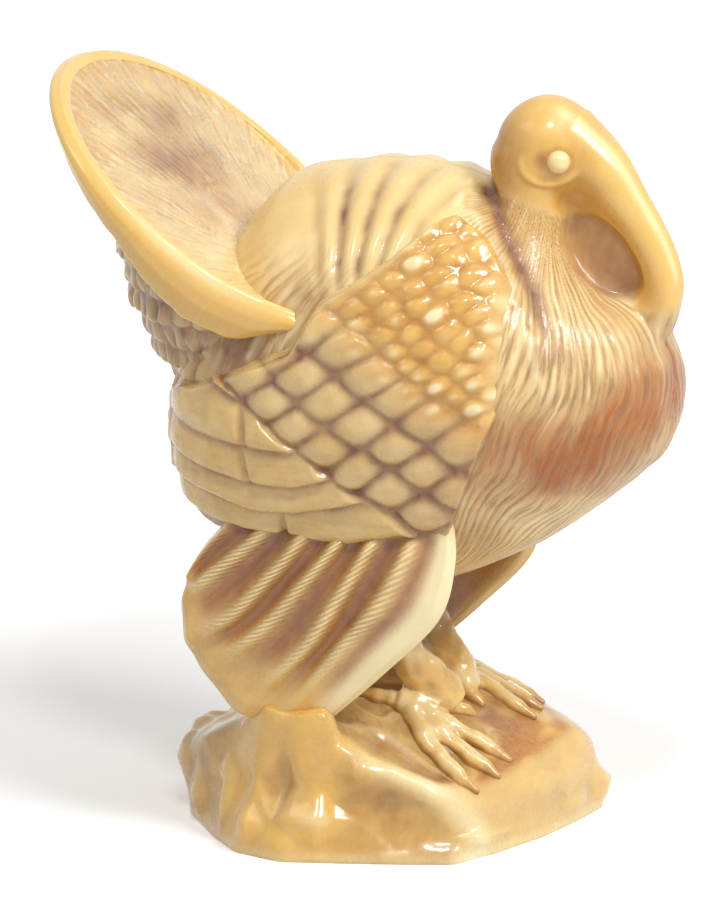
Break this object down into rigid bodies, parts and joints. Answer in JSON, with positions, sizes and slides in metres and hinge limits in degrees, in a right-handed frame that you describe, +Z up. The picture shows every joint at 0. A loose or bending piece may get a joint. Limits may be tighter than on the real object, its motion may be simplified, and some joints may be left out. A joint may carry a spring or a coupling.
{
  "type": "turkey figure",
  "caption": "Glossy moulded turkey figure with a raised tail fan, scaled wing panels and drooped flight feathers, standing on a rock base.",
  "frame": {"origin": "on the flat underside of the rock, below the middle of the bird", "axes": "the bird faces +X, its left side is +Y, up is +Z"},
  "size_m": [0.0657, 0.0396, 0.0759],
  "materials": {
    "ivory_moulding": "glossy cream moulding with brown stain in its recesses",
    "honey_moulding": "glossy honey yellow moulding",
    "stained_moulding": "glossy cream moulding stained mauve brown",
    "eye_bead": "polished pale bead"
  },
  "bodies": {
    "root": {"right_body_half": "ivory_moulding", "left_body_half": "ivory_moulding", "tail_fan": "honey_moulding", "tail_coverts": "stained_moulding", "right_wing_shield": "ivory_moulding", "left_wing_shield": "ivory_moulding", "right_primaries": "stained_moulding", "left_primaries": "stained_moulding", "right_eye": "eye_bead", "left_eye": "eye_bead", "right_foot": "honey_moulding", "left_foot": "honey_moulding", "rock": "honey_moulding", "closing_plate": "honey_moulding"}
  },
  "joints": []
}
